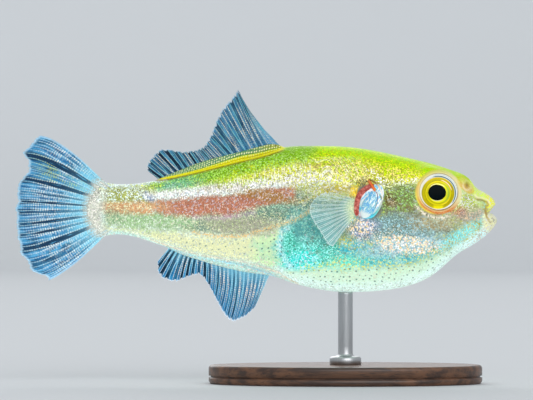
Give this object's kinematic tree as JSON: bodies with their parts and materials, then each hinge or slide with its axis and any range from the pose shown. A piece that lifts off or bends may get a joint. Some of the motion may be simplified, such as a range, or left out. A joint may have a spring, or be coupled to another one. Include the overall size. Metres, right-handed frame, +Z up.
{
  "type": "freshwater pufferfish model",
  "caption": "Still, life-size model of a slender golden freshwater pufferfish with spread fins, held level on a rod over a flat oval base.",
  "frame": {"origin": "on the floor, at the middle of the underside of the whole model's box", "axes": "+X along the fish towards the snout, +Y to the fish's left, +Z up"},
  "size_m": [0.0916, 0.03, 0.0556],
  "materials": {
    "skin": "wet-looking fish skin: granular lime and gold back, copper side band, pale pearly belly with fine dots, under clear varnish",
    "fin": "thin steel-blue fin membrane with paler, finely dotted rays, slightly see-through",
    "iris": "golden iris with fine rings in a white-rimmed eyeball, glossy",
    "pupil": "black, mirror-smooth",
    "gill": "moist dark red band with a bluish pearly flap",
    "base_wood": "dark stained close-grained wood, satin varnish",
    "rod_steel": "turned and brushed steel"
  },
  "bodies": {
    "root": {"upper_jaw": "skin", "lower_jaw": "skin", "head": "skin", "trunk": "skin", "tail_stalk": "skin", "dorsal_fin": "fin", "anal_fin": "fin", "tail_fin": "fin", "pectoral_fin_left": "fin", "pectoral_fin_right": "fin", "eye_left": "iris", "eye_right": "iris", "pupil_left": "pupil", "pupil_right": "pupil", "gill_left": "gill", "gill_right": "gill", "stand_base": "base_wood", "stand_rod": "rod_steel"}
  },
  "joints": []
}
